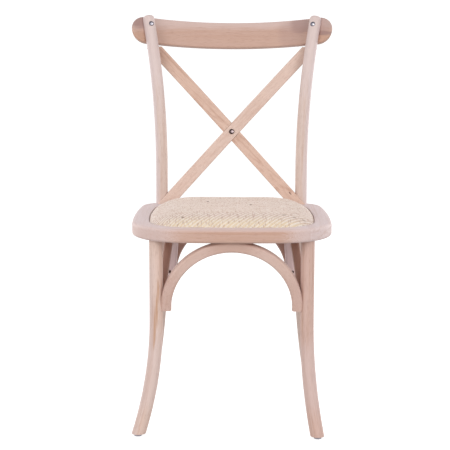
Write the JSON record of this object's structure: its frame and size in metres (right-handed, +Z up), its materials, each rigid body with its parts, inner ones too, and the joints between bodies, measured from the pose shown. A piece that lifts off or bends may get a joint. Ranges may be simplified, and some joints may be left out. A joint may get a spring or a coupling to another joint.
{
  "type": "chair",
  "caption": "Bentwood dining chair with a crossed slat back, bowed crest rail, domed woven rattan seat and arched braces between the legs.",
  "frame": {"origin": "on the floor, below the middle of the chair's bounding box", "axes": "+Z up, the chair's front faces -Y, +X to the viewer's right when looking at the front"},
  "size_m": [0.463, 0.508, 0.8818],
  "materials": {
    "bent_wood": "pale raw hardwood with fine grain, matt",
    "seat_frame": "pale raw hardwood, warmer, with grain along each rail, matt",
    "seat_board": "moulded plywood",
    "dowel": "plain beech",
    "rattan": "fine woven rattan in a twill",
    "bright_screw": "bright domed head",
    "steel_fastener": "grey zinc-plated",
    "glide": "grey nylon"
  },
  "bodies": {
    "root": {"crest_rail": "bent_wood", "cross_slat_back": "bent_wood", "cross_slat_front": "bent_wood", "crossing_bolt": "steel_fastener", "crossing_nut": "steel_fastener", "front_arch": "bent_wood", "front_crown_screw": "steel_fastener", "left_arch": "bent_wood", "left_crest_screw": "bright_screw", "left_crown_screw": "steel_fastener", "left_front_arch_screw": "steel_fastener", "left_front_glide": "glide", "left_front_leg": "bent_wood", "left_rear_arch_screw": "steel_fastener", "left_rear_glide": "glide", "left_rear_leg": "bent_wood", "left_rear_rail_dowel": "dowel", "left_side_arch_front_screw": "steel_fastener", "left_side_arch_rear_screw": "steel_fastener", "left_side_rail_dowel": "dowel", "left_slat_foot_screw": "steel_fastener", "left_slat_top_screw": "steel_fastener", "left_spline": "dowel", "rattan_seat": "rattan", "rear_arch": "bent_wood", "rear_crown_screw": "steel_fastener", "right_arch": "bent_wood", "right_crest_screw": "bright_screw", "right_crown_screw": "steel_fastener", "right_front_arch_screw": "steel_fastener", "right_front_glide": "glide", "right_front_leg": "bent_wood", "right_rear_arch_screw": "steel_fastener", "right_rear_glide": "glide", "right_rear_leg": "bent_wood", "right_rear_rail_dowel": "dowel", "right_side_arch_front_screw": "steel_fastener", "right_side_arch_rear_screw": "steel_fastener", "right_side_rail_dowel": "dowel", "right_slat_foot_screw": "steel_fastener", "right_slat_top_screw": "steel_fastener", "right_spline": "dowel", "seat_board": "seat_board", "seat_front_rail": "seat_frame", "seat_left_rail": "seat_frame", "seat_rear_rail": "seat_frame", "seat_right_rail": "seat_frame"}
  },
  "joints": []
}
